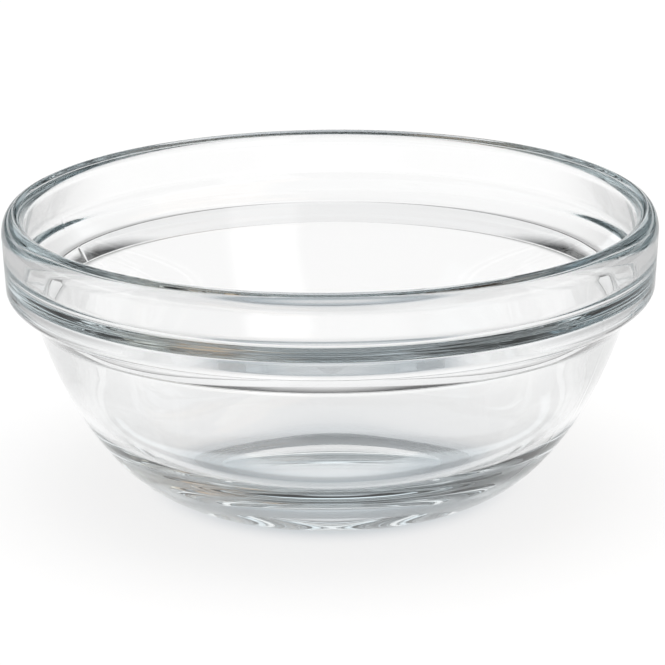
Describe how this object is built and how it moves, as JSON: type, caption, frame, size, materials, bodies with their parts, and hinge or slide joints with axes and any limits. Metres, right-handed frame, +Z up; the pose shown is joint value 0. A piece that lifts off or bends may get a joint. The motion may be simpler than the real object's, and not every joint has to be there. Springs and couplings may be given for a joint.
{
  "type": "stackable glass bowl",
  "caption": "Round clear pressed-glass bowl with a rounded lip, an upright stacking collar on a stepped shoulder, a deep curved body and a small foot ring.",
  "frame": {"origin": "centre of the foot ring, on the surface that the bowl stands on", "axes": "+Z up, along the axis of revolution, out of the mouth; +X and +Y are level and alike; the picture looks along +Y"},
  "size_m": [0.14, 0.14, 0.062],
  "materials": {
    "clear_glass": "clear pressed glass, fire-polished, with a faint cool tint in thick places"
  },
  "bodies": {
    "root": {"bowl": "clear_glass"}
  },
  "joints": []
}
